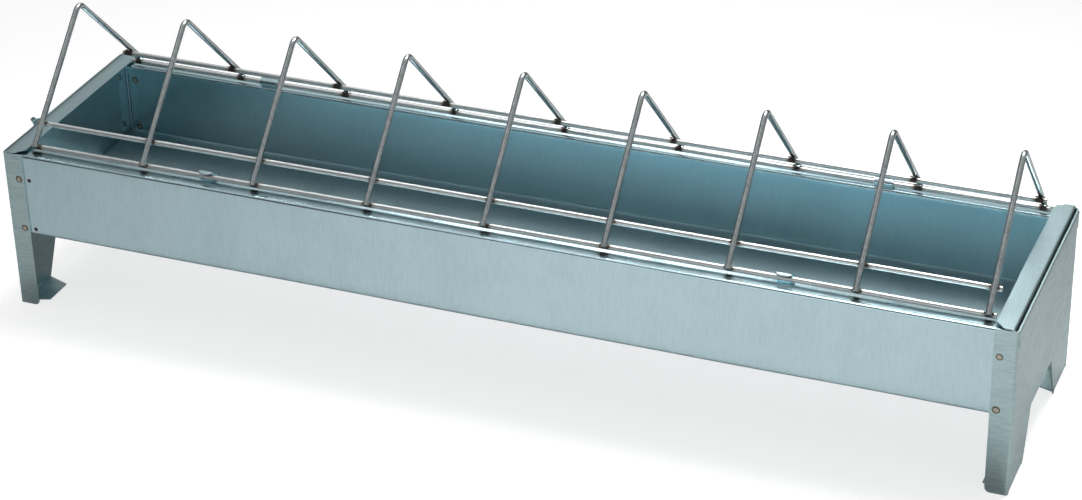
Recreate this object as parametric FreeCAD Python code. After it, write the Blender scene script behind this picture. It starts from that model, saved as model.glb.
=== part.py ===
import FreeCAD, Part
import math
import os
from FreeCAD import Vector

# Trough feeder for chicks: a folded sheet tray between two leg panels, with a welded wire
# grid that lifts about its rear rod. Millimetres. X runs along the trough, -Y is the front,
# Z is up, and the origin is on the floor under the middle of the trough.

# ---- sheet and wire stock ----
SHEET = 0.6                  # thickness of every sheet piece
BEND = 0.9                   # radius of a fold, at the middle of the sheet
ROD_DIA = 2.5                # long wires of the grid
HOOP_DIA = 2.8               # bent cross wires of the grid

# ---- whole feeder ----
LENGTH = 500.0               # over the two leg panels
WIDTH = 117.4                # over the leg panels' front and rear flanges
LEG_TOP = 83.9               # top edge of the leg panels
FLOOR_UNDERSIDE = 40.3       # underside of the tray's floor
RIM_DROP = 0.6               # the tray's rim lies this far under the leg panels' top

# ---- tray ----
RIM_WIDTH = 10.4             # rim turned in from the wall's outer face
RIM_LIP = 2.4                # edge of the rim turned down
CORNER_TAB = 9.0             # end of each wall, folded in along the end plate
TAB_TOP_GAP = 2.5            # the folded tab stops short of the rim and of the floor

# ---- end plates ----
END_GAP = 0.9                # air between an end plate and its leg panel
TOP_FLANGE = 9.3             # top of the end plate, turned in over the tray
TOP_FLANGE_LIFT = 0.5        # air between the leg panel's top and the flange above it
TOP_FLANGE_MITRE = 4.4       # cut corner of the top flange
FOOT_FLANGE = 8.0            # bottom of the end plate, turned in under the tray's floor

# ---- leg panels ----
SIDE_FLANGE = 10.5           # panel edge wrapped round onto the tray's wall
LEG_AT_FLOOR = 28.0          # width of a leg at the floor
LEG_AT_CUTOUT = 39.0         # width of a leg at the top of the cut-out
CUTOUT_HEIGHT = 24.5         # height of the cut-out between the legs
FOOT_LENGTH = 12.8           # foot turned in from the leg
FOOT_INSET = 1.6             # the foot's fold stops this far inside the leg's edges
FOOT_TAPER = 4.2             # each side of the foot narrows by this much
FOOT_SEAM = 2.0              # the foot's own sheet runs this far up the leg
HEM_DEPTH = 8.6              # top edge folded back over the outside of the panel
HEM_INSET = 2.0              # the hem stops short of the panel's corners
HEM_ROUNDING = 0.9           # radius of the hem's crest, in sheet thicknesses
FLANGE_CORNER = 2.5          # rounded bottom corner of a side flange
EAR_START = 29.0             # upturned ear on the left panel's hem, from the front face
EAR_LENGTH = 17.0
EAR_HEIGHT = 4.0
EAR_LEAN = 3.0               # the ear's steep edge leans this far towards the front
EAR_TIP = 2.2                # flat top of the ear's tip

# ---- spot welds ----
SPOT_DIA = 3.4
SPOT_RISE = 0.25
SPOT_EDGE = 0.4              # width of the cap's sloping edge
SPOT_INSET = 7.6             # from the end of the feeder
SPOT_FOLD_GAP = 0.1          # lower spot, above the fold of the tray's floor
SPOT_BELOW_RIM = 13.1        # upper spot

# ---- grid ----
HOOP_COUNT = 9
HOOP_INSET = 15.04           # first and last hoop, from the ends of the feeder
LEG_ANGLE = 45.25            # slope of a hoop's legs, in degrees
HOOP_BEND = 4.4              # radius of the hoop's peak, at the middle of the wire
HOOP_FOOT = 1.2              # wire left past the lower rod
ROD_INSET = 8.3              # lower rods, from the feeder's front and rear faces
ROD_LIFT = 2.1               # middle of the lower rods above the rim
UPPER_ROD_STEP = 12.0        # from the lower to the upper rod, along the leg
ROD_OVERHANG = 3.2           # rods run on past the last hoop
BEAD_HALF_LENGTH = 2.9       # weld collar, along the rod
BEAD_CREST = 2.6             # flat crest of the collar
BEAD_RISE = 0.5              # weld collar, above the rod's surface

# ---- rear hinge straps and front catch lugs, cut from the rim ----
STRAP_CLEARANCE = 0.35       # air round the rod
STRAP_FROM_HOOP = 16.2       # inwards from the last hoop but one
STRAP_WIDTH = 9.0
STRAP_END_ANGLE = 205.0      # round the rod, from level at its back
LUG_FROM_HOOP = 33.2         # inwards from the last hoop but one
LUG_WIDTH = 8.2
LUG_CLEARANCE = 0.8          # air round the rod
LUG_TIP_ANGLE = 134.0        # round the rod, from level at its back
LUG_ROOT_ANGLE = -50.0       # where strap and lug leave the rim, round the rod
LUG_HOLE_REACH = 0.4         # how far the hole under a lug goes past the rod's middle

TRIM = 1.0                   # cutting shapes stand this far clear of what they cut

# ---- worked out ----
HALF_L = LENGTH / 2
HALF_W = WIDTH / 2
RIM_TOP = LEG_TOP - RIM_DROP
TRAY_HALF_W = HALF_W - SHEET
PLATE_OUTER = HALF_L - SHEET - END_GAP
PLATE_INNER = PLATE_OUTER - SHEET
FLANGE_UNDERSIDE = LEG_TOP + TOP_FLANGE_LIFT
FOLD_BACK = BEND + SHEET / 2  # a fold takes up this much of each sheet it joins
ROD_R = ROD_DIA / 2
HOOP_R = HOOP_DIA / 2
WIRE_STEP = ROD_R + HOOP_R
ROD_Y = HALF_W - ROD_INSET
ROD_Z = RIM_TOP + ROD_LIFT
SLOPE = math.radians(LEG_ANGLE)
HOOP_PITCH = (LENGTH - 2 * HOOP_INSET) / (HOOP_COUNT - 1)
NEXT_TO_LAST_HOOP = HALF_L - HOOP_INSET - HOOP_PITCH
STRAP_PLACE = NEXT_TO_LAST_HOOP - STRAP_FROM_HOOP
LUG_PLACE = NEXT_TO_LAST_HOOP - LUG_FROM_HOOP
SPOT_HEIGHTS = (FLOOR_UNDERSIDE + FOLD_BACK + SPOT_FOLD_GAP + SPOT_DIA / 2,
                RIM_TOP - SPOT_BELOW_RIM)


def side_chain(points, radius, offset):
    """Stops along one side of a folded sheet: ends of one point, folds of three on an arc."""
    runs = []
    for (x0, y0), (x1, y1) in zip(points, points[1:]):
        length = math.hypot(x1 - x0, y1 - y0)
        runs.append(((x1 - x0) / length, (y1 - y0) / length))
    (x, y), (ux, uy) = points[0], runs[0]
    chain = [((x - uy * offset, y + ux * offset),)]
    for (x, y), (ux, uy), (wx, wy) in zip(points[1:], runs, runs[1:]):
        turn = math.atan2(ux * wy - uy * wx, ux * wx + uy * wy)
        way = math.copysign(1.0, turn)
        back = radius * math.tan(abs(turn) / 2)
        centre_x = x - ux * back - uy * way * radius
        centre_y = y - uy * back + ux * way * radius
        start = math.atan2(-ux * way, uy * way)
        reach = radius - way * offset
        chain.append(tuple(
            (centre_x + reach * math.cos(start + turn * share),
             centre_y + reach * math.sin(start + turn * share))
            for share in (0.0, 0.5, 1.0)
        ))
    (x, y), (ux, uy) = points[-1], runs[-1]
    chain.append(((x - uy * offset, y + ux * offset),))
    return chain


def strip_outline(points, radius, thickness):
    """Lines and arcs round a folded sheet, seen edge on; the points run along its middle."""
    ring = side_chain(points, radius, thickness / 2)
    ring += [stop[::-1] for stop in reversed(side_chain(points, radius, -thickness / 2))]
    edges = []
    for stop, following in zip(ring, ring[1:] + ring[:1]):
        if len(stop) == 3:
            edges.append(stop)
        edges.append((stop[-1], following[0]))
    return edges


def plane_x(x):
    """Puts (y, z) points on the plane across the trough at x."""
    return lambda u, v: Vector(x, u, v)


def plane_y(y):
    """Puts (x, z) points on the upright plane at y."""
    return lambda u, v: Vector(u, y, v)


def plane_z(z):
    """Puts (x, y) points on the level plane at z."""
    return lambda u, v: Vector(u, v, z)


def face_from(edges, place):
    """Face bounded by 2-D lines and arcs, each point put in space by place(u, v)."""
    shapes = []
    for edge in edges:
        spots = [place(u, v) for u, v in edge]
        if len(spots) == 3:
            shapes.append(Part.Arc(*spots).toShape())
        else:
            shapes.append(Part.LineSegment(*spots).toShape())
    return Part.Face(Part.Wire(shapes))


def folded(points, place, along, radius=BEND, thickness=SHEET):
    """Folded sheet: the outline of its edge, pushed along a vector."""
    return face_from(strip_outline(points, radius, thickness), place).extrude(along)


def prism(points, place, along):
    """Block with a straight-sided outline."""
    wire = Part.makePolygon([place(u, v) for u, v in points + points[:1]])
    return Part.Face(wire).extrude(along)


def box(x0, x1, y0, y1, z0, z1):
    """Block between two corners."""
    return Part.makeBox(x1 - x0, y1 - y0, z1 - z0, Vector(x0, y0, z0))


def rod(y, z, x0, x1, radius):
    """Round bar along the trough."""
    return Part.makeCylinder(radius, x1 - x0, Vector(x0, y, z), Vector(1, 0, 0))


def joined(shapes):
    """One solid from touching pieces of one sheet."""
    whole = shapes[0].multiFuse(shapes[1:]).removeSplitter()
    if len(whole.Solids) != 1:
        raise ValueError("a sheet piece came out in %d solids" % len(whole.Solids))
    return whole.Solids[0]


def mirrored_x(shape):
    """The same piece at the other end."""
    return shape.mirror(Vector(0, 0, 0), Vector(1, 0, 0))


def mirrored_y(shape):
    """The same piece on the other side."""
    return shape.mirror(Vector(0, 0, 0), Vector(0, 1, 0))


# ---------------------------------------------------------------- tray
def round_rod(radius, degrees):
    """(y, z) from a rod's middle, at an angle from level at its back."""
    angle = math.radians(degrees)
    return radius * math.cos(angle), radius * math.sin(angle)


def rod_loop(y, width, x_middle, clearance, end_angle):
    """Tongue of rim sheet curled round a rod at (y, ROD_Z), rising at the rod's back."""
    inner = ROD_R + clearance
    start_angle = LUG_ROOT_ANGLE
    outer = inner + SHEET
    x0 = x_middle - width / 2
    middle = (start_angle + end_angle) / 2
    ring = [
        (round_rod(outer, start_angle), round_rod(outer, middle), round_rod(outer, end_angle)),
        (round_rod(outer, end_angle), round_rod(inner, end_angle)),
        (round_rod(inner, end_angle), round_rod(inner, middle), round_rod(inner, start_angle)),
        (round_rod(inner, start_angle), round_rod(outer, start_angle)),
    ]
    edges = [[(y + dy, ROD_Z + dz) for dy, dz in edge] for edge in ring]
    curl = face_from(edges, plane_x(x0)).extrude(Vector(width, 0, 0))
    root_y = y + round_rod(inner, start_angle)[0]
    root_z = ROD_Z + round_rod(outer, start_angle)[1]
    foot = box(x0, x0 + width, root_y, root_y + SHEET, RIM_TOP - SHEET / 2, root_z + SHEET / 2)
    return [curl, foot]


def catch_lug(x_middle):
    """Half-moon tongue behind the front rod, its round tip over the rod."""
    pieces = rod_loop(-ROD_Y, LUG_WIDTH, x_middle, LUG_CLEARANCE, LUG_TIP_ANGLE)
    half = LUG_WIDTH / 2
    reach = ROD_R + LUG_CLEARANCE + SHEET + TRIM
    back = -ROD_Y + reach
    shoulder = -ROD_Y + ROD_R
    tip = -ROD_Y + round_rod(reach - TRIM, LUG_TIP_ANGLE)[0]
    quarter = math.sqrt(0.5)
    bow = shoulder - (shoulder - tip) * quarter
    left, right = x_middle - half, x_middle + half
    edges = [
        ((left, back), (left, shoulder)),
        ((left, shoulder), (x_middle - half * quarter, bow), (x_middle, tip)),
        ((x_middle, tip), (x_middle + half * quarter, bow), (right, shoulder)),
        ((right, shoulder), (right, back)),
        ((right, back), (left, back)),
    ]
    low = RIM_TOP - SHEET
    outline = face_from(edges, plane_z(low)).extrude(Vector(0, 0, ROD_Z + reach - low))
    return [piece.common(outline) for piece in pieces]


def lug_hole(x_middle):
    """Hole in the rim that a catch lug was cut from."""
    half = LUG_WIDTH / 2
    front = -ROD_Y - LUG_HOLE_REACH
    back = -ROD_Y + ROD_R
    left, right = x_middle - half, x_middle + half
    edges = [
        ((left, back), (x_middle, front), (right, back)),
        ((right, back), (left, back)),
    ]
    return face_from(edges, plane_z(RIM_TOP - 2 * SHEET)).extrude(Vector(0, 0, 3 * SHEET))


def strap_hole(x_middle):
    """Hole in the rim that a hinge strap was cut from."""
    back = ROD_Y + ROD_R - SHEET
    front = ROD_Y - ROD_R - STRAP_CLEARANCE
    return box(x_middle - STRAP_WIDTH / 2, x_middle + STRAP_WIDTH / 2,
               front, back, RIM_TOP - 2 * SHEET, RIM_TOP + SHEET)


def make_tray():
    """Floor, two walls, turned-in rims, corner tabs, hinge straps and catch lugs."""
    wall = TRAY_HALF_W - SHEET / 2
    low = FLOOR_UNDERSIDE + SHEET / 2
    high = RIM_TOP - SHEET / 2
    rim_edge = TRAY_HALF_W - RIM_WIDTH + SHEET / 2
    half = [(rim_edge, RIM_TOP - RIM_LIP), (rim_edge, high), (wall, high), (wall, low)]
    section = half + [(-y, z) for y, z in half[::-1]]
    body_end = PLATE_INNER - FOLD_BACK
    body = folded(section, plane_x(-body_end), Vector(2 * body_end, 0, 0))
    holes = [lug_hole(side * LUG_PLACE) for side in (1, -1)]
    holes += [strap_hole(side * STRAP_PLACE) for side in (1, -1)]
    pieces = [body.cut(holes)]

    # the floor runs on to where the end plate starts to fold under it
    floor_end = PLATE_INNER - BEND + SHEET / 2
    floor_half = TRAY_HALF_W - FOLD_BACK
    end_floor = box(body_end - SHEET, floor_end, -floor_half, floor_half,
                    FLOOR_UNDERSIDE, FLOOR_UNDERSIDE + SHEET)
    pieces += [end_floor, mirrored_x(end_floor)]

    tab_low = FLOOR_UNDERSIDE + FOLD_BACK + TAB_TOP_GAP
    tab_high = RIM_TOP - FOLD_BACK - TAB_TOP_GAP
    tab_face = PLATE_INNER - SHEET / 2
    tab = folded([(body_end - 2 * SHEET, wall), (tab_face, wall), (tab_face, wall - CORNER_TAB)],
                 plane_z(tab_low), Vector(0, 0, tab_high - tab_low))
    for end_tab in (tab, mirrored_x(tab)):
        pieces += [end_tab, mirrored_y(end_tab)]

    for side in (1, -1):
        pieces += rod_loop(ROD_Y, STRAP_WIDTH, side * STRAP_PLACE, STRAP_CLEARANCE, STRAP_END_ANGLE)
        pieces += catch_lug(side * LUG_PLACE)
    return joined(pieces)


# ---------------------------------------------------------------- end plates
def make_end_plate():
    """Right-hand end plate: closes the tray, with a mitred flange over it and one under it."""
    middle = PLATE_OUTER - SHEET / 2
    top = FLANGE_UNDERSIDE + SHEET / 2
    bottom = FLOOR_UNDERSIDE - SHEET / 2
    inner_edge = PLATE_OUTER - TOP_FLANGE
    points = [(PLATE_OUTER - FOOT_FLANGE, bottom), (middle, bottom), (middle, top), (inner_edge, top)]
    plate = folded(points, plane_y(-HALF_W), Vector(0, WIDTH, 0))
    # below the top flange the plate is narrower, so that it fits between the side flanges
    narrow_top = LEG_TOP + TOP_FLANGE_LIFT / 2
    side_trim = box(inner_edge - TRIM, PLATE_OUTER + TRIM, TRAY_HALF_W, HALF_W + TRIM,
                    bottom - SHEET, narrow_top)
    corner = [(inner_edge - TRIM, HALF_W + TRIM),
              (inner_edge + TOP_FLANGE_MITRE + TRIM, HALF_W + TRIM),
              (inner_edge - TRIM, HALF_W - TOP_FLANGE_MITRE - TRIM)]
    mitre = prism(corner, plane_z(narrow_top), Vector(0, 0, 3 * SHEET))
    trims = [side_trim, mirrored_y(side_trim), mitre, mirrored_y(mitre)]
    return plate.cut(trims).removeSplitter().Solids[0]


# ---------------------------------------------------------------- leg panels
def make_foot():
    """Foot folded in from the foot of the front leg, narrowing away from the fold."""
    front = -HALF_W + BEND + FOOT_INSET
    back = -HALF_W + LEG_AT_FLOOR - FOOT_INSET
    web = HALF_L - SHEET / 2
    tip = HALF_L - FOOT_LENGTH
    foot = folded([(web, FOLD_BACK + FOOT_SEAM), (web, SHEET / 2), (tip, SHEET / 2)],
                  plane_y(front), Vector(0, back - front, 0))
    taper_from = HALF_L - SHEET - BEND
    outline = prism([(HALF_L + TRIM, front), (taper_from, front), (tip, front + FOOT_TAPER),
                     (tip, back - FOOT_TAPER), (taper_from, back), (HALF_L + TRIM, back)],
                    plane_z(-TRIM), Vector(0, 0, FOOT_LENGTH))
    # the leg's own sheet gives way to the foot's fold
    relief = box(HALF_L - 2 * SHEET, HALF_L + SHEET, front, back, -TRIM, FOLD_BACK)
    return foot.common(outline), relief


def round_corner():
    """What is cut from the bottom corner of the front side flange."""
    tip = HALF_L - SIDE_FLANGE
    face = -HALF_W - TRIM
    depth = 2 * SHEET + TRIM
    block = box(tip - TRIM, tip + FLANGE_CORNER, face, face + depth, -TRIM, FLANGE_CORNER)
    rounding = Part.makeCylinder(FLANGE_CORNER, depth,
                                 Vector(tip + FLANGE_CORNER, face, FLANGE_CORNER), Vector(0, 1, 0))
    return block.cut(rounding)


def make_hem():
    """Top edge of the panel folded back over its outside, and the slot it takes up."""
    hem_half = HALF_W - HEM_INSET
    hem = box(HALF_L - SHEET, HALF_L + SHEET, -hem_half, hem_half, LEG_TOP - HEM_DEPTH, LEG_TOP)
    crest = [edge for edge in hem.Edges
             if edge.BoundBox.ZMin > LEG_TOP - SHEET / 2 and edge.BoundBox.YLength > hem_half]
    slot = box(HALF_L - 2 * SHEET, HALF_L + SHEET, -hem_half, hem_half,
               LEG_TOP - HEM_DEPTH / 2, LEG_TOP + TRIM)
    return hem.makeFillet(SHEET * HEM_ROUNDING, crest), slot


def make_leg_panel(with_ear):
    """Right-hand leg panel: web, wrapped side flanges, two legs with feet, hemmed top."""
    web = HALF_L - SHEET / 2
    side = HALF_W - SHEET / 2
    tip = HALF_L - SIDE_FLANGE
    panel = folded([(tip, -side), (web, -side), (web, side), (tip, side)],
                   plane_z(0), Vector(0, 0, LEG_TOP))
    at_floor = HALF_W - LEG_AT_FLOOR
    at_top = HALF_W - LEG_AT_CUTOUT
    flare = (at_floor - at_top) * TRIM / CUTOUT_HEIGHT
    cutout = prism([(-at_floor - flare, -TRIM), (at_floor + flare, -TRIM),
                    (at_top, CUTOUT_HEIGHT), (-at_top, CUTOUT_HEIGHT)],
                   plane_x(HALF_L - 2 * SHEET), Vector(3 * SHEET, 0, 0))
    foot, relief = make_foot()
    corner = round_corner()
    hem, slot = make_hem()
    panel = panel.cut([cutout, relief, mirrored_y(relief), corner, mirrored_y(corner), slot])
    pieces = [panel, hem, foot, mirrored_y(foot)]
    if with_ear:
        front = -HALF_W + EAR_START
        root = LEG_TOP - HEM_DEPTH / 4
        tip_z = LEG_TOP + EAR_HEIGHT
        pieces.append(prism([(front + EAR_LEAN, root), (front, tip_z), (front + EAR_TIP, tip_z),
                             (front + EAR_LENGTH, root)],
                            plane_x(HALF_L), Vector(SHEET, 0, 0)))
    return joined(pieces)


# ---------------------------------------------------------------- spot welds
def spot_cap(x, y, z, way):
    """Low round cap on a sheet's face, pointing along way * Y."""
    half = SPOT_DIA / 2
    return Part.makeCone(half, half - SPOT_EDGE, SPOT_RISE, Vector(x, y, z), Vector(0, way, 0))


def make_spot_welds(end, side):
    """Both faces of the two spot welds at one corner of the feeder."""
    x = end * (HALF_L - SPOT_INSET)
    caps = []
    for z in SPOT_HEIGHTS:
        caps.append(spot_cap(x, side * HALF_W, z, side))
        caps.append(spot_cap(x, side * (TRAY_HALF_W - SHEET), z, -side))
    return Part.makeCompound(caps)


# ---------------------------------------------------------------- grid
def leg_point(along, off):
    """(y, z) on the front of the grid: along the leg from the lower rod, and out from it."""
    y = -ROD_Y + along * math.cos(SLOPE) - off * math.sin(SLOPE)
    z = ROD_Z + along * math.sin(SLOPE) + off * math.cos(SLOPE)
    return y, z


def make_hoop(x):
    """Cross wire: two straight legs and a small round peak."""
    place = plane_x(x)
    foot = leg_point(-HOOP_FOOT, WIRE_STEP)
    apex_along = (ROD_Y + WIRE_STEP * math.sin(SLOPE)) / math.cos(SLOPE)
    shoulder = leg_point(apex_along - HOOP_BEND * math.tan(SLOPE), WIRE_STEP)
    peak_z = leg_point(apex_along, WIRE_STEP)[1] - HOOP_BEND * (1 / math.cos(SLOPE) - 1)
    front_leg = Part.LineSegment(place(*foot), place(*shoulder))
    peak = Part.Arc(place(*shoulder), place(0, peak_z), place(-shoulder[0], shoulder[1]))
    rear_leg = Part.LineSegment(place(-shoulder[0], shoulder[1]), place(-foot[0], foot[1]))
    path = Part.Wire([piece.toShape() for piece in (front_leg, peak, rear_leg)])
    heading = Vector(0, math.cos(SLOPE), math.sin(SLOPE))
    section = Part.Wire(Part.makeCircle(HOOP_R, place(*foot), heading))
    return path.makePipeShell([section], True, False)


def make_bead(x, along, side):
    """Weld collar on a rod, round the leg that crosses it there."""
    y, z = leg_point(along, 0.0)
    corners = [(-BEAD_HALF_LENGTH, 0.0), (-BEAD_CREST / 2, BEAD_RISE),
               (BEAD_CREST / 2, BEAD_RISE), (BEAD_HALF_LENGTH, 0.0)]
    wire = Part.makePolygon([Vector(x + dx, y, z + ROD_R + dz) for dx, dz in corners + corners[:1]])
    collar = Part.Face(wire).revolve(Vector(x, y, z), Vector(1, 0, 0), 360)
    leg_y, leg_z = leg_point(along - UPPER_ROD_STEP / 2, WIRE_STEP)
    leg = Part.makeCylinder(HOOP_R, UPPER_ROD_STEP, Vector(x, leg_y, leg_z),
                            Vector(0, math.cos(SLOPE), math.sin(SLOPE)))
    bead = collar.cut(leg)
    return bead if side < 0 else mirrored_y(bead)


def make_nodes():
    """Every sub-part by name."""
    nodes = {
        "trough_tray": make_tray(),
        "right_end_plate": make_end_plate(),
        "left_end_plate": mirrored_x(make_end_plate()),
        "right_leg_panel": make_leg_panel(with_ear=False),
        "left_leg_panel": mirrored_x(make_leg_panel(with_ear=True)),
    }
    for end_name, end in (("left", -1), ("right", 1)):
        for side_name, side in (("front", -1), ("rear", 1)):
            nodes["%s_%s_spot_welds" % (side_name, end_name)] = make_spot_welds(end, side)
    middle = (HOOP_COUNT - 1) / 2
    hoop_places = [(i - middle) * HOOP_PITCH for i in range(HOOP_COUNT)]
    rod_end = hoop_places[-1] + ROD_OVERHANG
    for level, along in (("lower", 0.0), ("upper", UPPER_ROD_STEP)):
        y, z = leg_point(along, 0.0)
        for side_name, side in (("front", -1), ("rear", 1)):
            nodes["grid_%s_%s_rod" % (side_name, level)] = rod(-side * y, z, -rod_end, rod_end, ROD_R)
            beads = [make_bead(x, along, side) for x in hoop_places]
            nodes["grid_%s_%s_welds" % (side_name, level)] = Part.makeCompound(beads)
    for i, x in enumerate(hoop_places):
        nodes["grid_hoop_%d" % (i + 1)] = make_hoop(x)
    return nodes


def main():
    """Write every sub-part to its own file."""
    os.makedirs("parts", exist_ok=True)
    for name, shape in make_nodes().items():
        for solid in shape.Solids:
            if not solid.isValid() or solid.Volume <= 0:
                raise ValueError("%s holds a solid that isn't sound" % name)
        shape.exportStep("parts/%s.step" % name)
        print("%-24s %3d solid(s) %10.1f mm3" % (name, len(shape.Solids), shape.Volume))


main()
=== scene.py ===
"""Chick trough feeder: a sheet-steel tray on two leg panels, under a hinged welded wire grid.

Every size is in metres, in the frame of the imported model: X along the trough, -Y the front, Z up.
"""

from __future__ import annotations

import logging
import math
from dataclasses import dataclass, field
from enum import Enum
from functools import reduce
from typing import Callable, Sequence

import bmesh
import bpy
from mathutils import Matrix, Vector, noise


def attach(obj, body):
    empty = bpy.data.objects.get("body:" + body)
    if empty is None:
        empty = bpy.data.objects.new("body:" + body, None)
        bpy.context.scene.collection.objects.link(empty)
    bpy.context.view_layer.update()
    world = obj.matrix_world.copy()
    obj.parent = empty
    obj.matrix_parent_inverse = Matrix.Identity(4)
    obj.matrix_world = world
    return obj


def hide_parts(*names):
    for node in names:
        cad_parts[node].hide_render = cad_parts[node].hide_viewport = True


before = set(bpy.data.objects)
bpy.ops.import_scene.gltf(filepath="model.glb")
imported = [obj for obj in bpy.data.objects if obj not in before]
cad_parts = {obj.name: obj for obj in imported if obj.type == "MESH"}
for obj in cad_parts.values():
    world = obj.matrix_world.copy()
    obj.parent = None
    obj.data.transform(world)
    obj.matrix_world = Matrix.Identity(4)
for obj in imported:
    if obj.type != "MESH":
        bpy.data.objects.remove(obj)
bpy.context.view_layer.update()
log = logging.getLogger("trough_feeder")

Pair = tuple[float, float]
Triple = tuple[float, float, float]
Socket = bpy.types.NodeSocket
Placer = Callable[[float, float, float], Vector]

SHARP_ANGLE = math.radians(38.0)
PAST_EDGE = 0.001
"""How far a cut runs out past the edge of its sheet."""


class Body(Enum):
    """The rigid bodies that pieces ride on."""

    TROUGH = "trough"
    GRID = "grid"


class End(Enum):
    """The two ends of the trough, with the sign of X there."""

    LEFT = -1
    RIGHT = 1


class Side(Enum):
    """The front and the rear, with the sign of Y there."""

    FRONT = -1
    REAR = 1


# ---------------------------------------------------------------------------- sizes
@dataclass(frozen=True)
class FeederSizes:
    """Sizes that several sub-assemblies share, as the CAD has them."""

    sheet: float = 0.0006
    fold: float = 0.0009
    half_length: float = 0.250
    half_width: float = 0.0587
    leg_top: float = 0.0839
    rim_top: float = 0.0833
    floor_underside: float = 0.0403
    plate_outer: float = 0.2485
    rod_radius: float = 0.00125
    hoop_radius: float = 0.0014
    rod_y: float = 0.0504
    rod_z: float = 0.0854
    slope: float = math.radians(45.25)
    hoop_count: int = 9
    hoop_pitch: float = 0.05874
    upper_rod_step: float = 0.012
    rod_half_length: float = 0.23816

    @property
    def half_sheet(self) -> float:
        """From the middle of a sheet to its face."""
        return self.sheet / 2

    @property
    def fold_outside(self) -> float:
        """Radius of a fold's outside."""
        return self.fold + self.half_sheet

    def on_leg(self, along: float, off: float) -> Pair:
        """Gives (y, z) on the front of the grid.

        Args:
            along: distance up the leg from the lower rod's middle.
            off: distance out from the rods' plane.

        Returns:
            The point's y and z.
        """
        y = -self.rod_y + along * math.cos(self.slope) - off * math.sin(self.slope)
        z = self.rod_z + along * math.sin(self.slope) + off * math.cos(self.slope)
        return y, z

    def hoop_places(self) -> list[float]:
        """X of every hoop."""
        middle = (self.hoop_count - 1) / 2
        return [(i - middle) * self.hoop_pitch for i in range(self.hoop_count)]


SIZES = FeederSizes()


def share(value: float) -> float:
    """Keeps a value between 0 and 1."""
    return min(1.0, max(0.0, value))


def on_circle(degrees: float, radius: float = 1.0) -> Pair:
    """A point of a circle round the origin."""
    return radius * math.cos(math.radians(degrees)), radius * math.sin(math.radians(degrees))


# ---------------------------------------------------------------------------- node trees
class Graph:
    """Adds nodes to a tree and wires them together."""

    def __init__(self, tree: bpy.types.NodeTree) -> None:
        """Starts on a tree that may already hold nodes."""
        self.tree = tree

    def add(self, kind: str, inputs: dict | None = None, **settings: object) -> bpy.types.Node:
        """Adds a node.

        Args:
            kind: the node's type name.
            inputs: values or output sockets, by input name or index.
            settings: the node's own properties.

        Returns:
            The new node.
        """
        node = self.tree.nodes.new(kind)
        for name, value in settings.items():
            setattr(node, name, value)
        for key, value in (inputs or {}).items():
            self.feed(node, key, value)
        return node

    def feed(self, node: bpy.types.Node, key: str | int, value: object) -> None:
        """Sets an input, or links it where the value is another node's socket."""
        if isinstance(value, Socket):
            self.tree.links.new(value, node.inputs[key])
        else:
            node.inputs[key].default_value = value

    def out(self, kind: str, inputs: dict | None = None, **settings: object) -> Socket:
        """Adds a node and gives its first output."""
        return self.add(kind, inputs, **settings).outputs[0]

    def maths(self, operation: str, *values: object) -> Socket:
        """Adds a Math node."""
        return self.out("ShaderNodeMath", dict(enumerate(values)), operation=operation)

    def product(self, *values: object) -> Socket:
        """Multiplies values in turn."""
        return reduce(lambda so_far, value: self.maths("MULTIPLY", so_far, value), values)

    def total(self, *values: object) -> Socket:
        """Adds values in turn."""
        return reduce(lambda so_far, value: self.maths("ADD", so_far, value), values)

    def vector(self, operation: str, inputs: dict) -> Socket:
        """Adds a Vector Math node."""
        return self.out("ShaderNodeVectorMath", inputs, operation=operation)

    def joined(self, **axes: Socket) -> Socket:
        """Joins X, Y and Z into a vector; an axis left out is 0."""
        return self.out("ShaderNodeCombineXYZ", axes)

    def instances(self, points: Socket, shape: Socket, turn: Socket, size: object) -> Socket:
        """Puts a shape on every point."""
        return self.out("GeometryNodeInstanceOnPoints", {
            "Points": points, "Instance": shape, "Rotation": turn, "Scale": size})

    def moved(self, geometry: Socket, offset: Socket) -> Socket:
        """Makes instances real and moves their points."""
        real = self.out("GeometryNodeRealizeInstances", {"Geometry": geometry})
        return self.out("GeometryNodeSetPosition", {"Geometry": real, "Offset": offset})

    def parts(self, vector: Socket) -> list[Socket]:
        """Splits a vector into X, Y and Z."""
        return list(self.add("ShaderNodeSeparateXYZ", {"Vector": vector}).outputs)

    def noise(self, place: Socket, scale: float | Triple, detail: float, rough: float = 0.5,
              turn: Triple = (0.0, 0.0, 0.0)) -> Socket:
        """Adds noise; a scale for each axis stretches it, and then it can be turned too."""
        if isinstance(scale, tuple):
            place = self.out("ShaderNodeMapping", {"Vector": place, "Scale": scale, "Rotation": turn})
            scale = 1.0
        return self.add("ShaderNodeTexNoise", {"Vector": place, "Scale": scale, "Detail": detail,
                                               "Roughness": rough}).outputs["Fac"]

    def span(self, value: Socket, source: Pair, target: Pair, **settings: object) -> Socket:
        """Maps one range onto another, and holds the value at its ends."""
        return self.out("ShaderNodeMapRange", {
            "Value": value, "From Min": source[0], "From Max": source[1],
            "To Min": target[0], "To Max": target[1]}, **settings)

    def ramp(self, value: Socket, *stops: tuple[float, Triple]) -> Socket:
        """Adds a colour ramp between two stops, each a place and a colour."""
        node = self.add("ShaderNodeValToRGB", {"Fac": value})
        for element, (place, colour) in zip(node.color_ramp.elements, stops):
            element.position = place
            element.color = (*colour, 1.0)
        return node.outputs[0]

    def bump(self, height: Socket, strength: float, distance: float) -> Socket:
        """Adds a bump."""
        return self.out("ShaderNodeBump", {"Height": height, "Strength": strength, "Distance": distance})

    def object_place(self) -> Socket:
        """Object coordinates."""
        return self.add("ShaderNodeTexCoord").outputs["Object"]


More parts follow.
